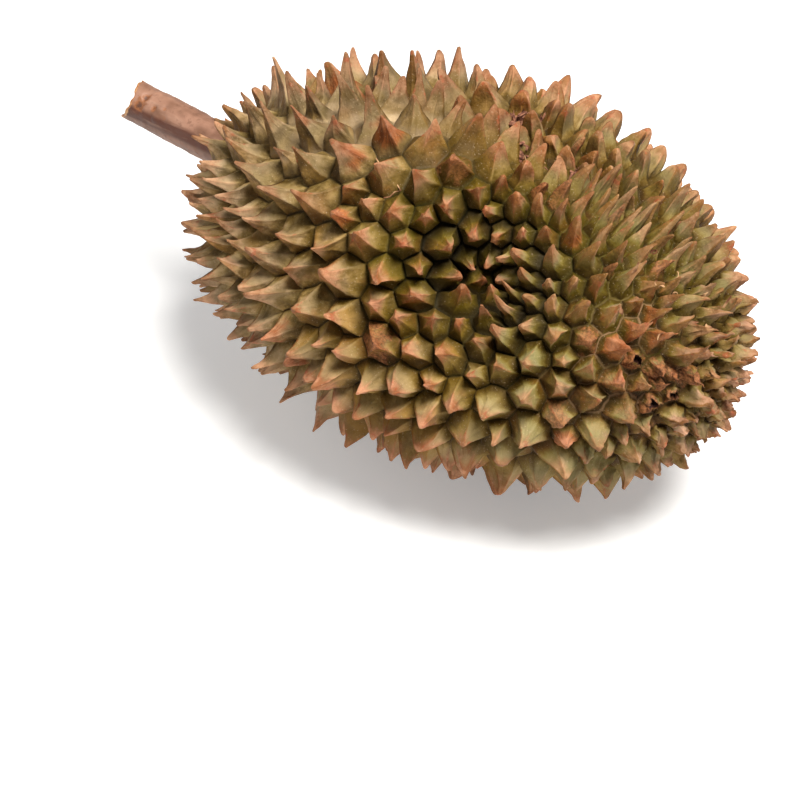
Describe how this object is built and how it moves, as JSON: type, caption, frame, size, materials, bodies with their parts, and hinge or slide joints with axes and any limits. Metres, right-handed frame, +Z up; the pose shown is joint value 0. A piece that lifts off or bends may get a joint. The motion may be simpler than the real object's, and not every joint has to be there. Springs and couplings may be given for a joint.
{
  "type": "durian",
  "caption": "Whole spiny durian lying on its side, with a short cut stem standing in its left end.",
  "frame": {"origin": "on the floor, under the middle of the box round the whole fruit and its stem", "axes": "+Z up, +X along the fruit from the stem to the blossom end, -Y the side that shows the dimple"},
  "size_m": [0.327, 0.1822, 0.1724],
  "materials": {
    "husk": "dry matt rind in olive and tan, with browner spine tips and greener creases",
    "stem": "dull brown bark with a faint sheen"
  },
  "bodies": {
    "root": {"husk": "husk", "stem": "stem"}
  },
  "joints": []
}
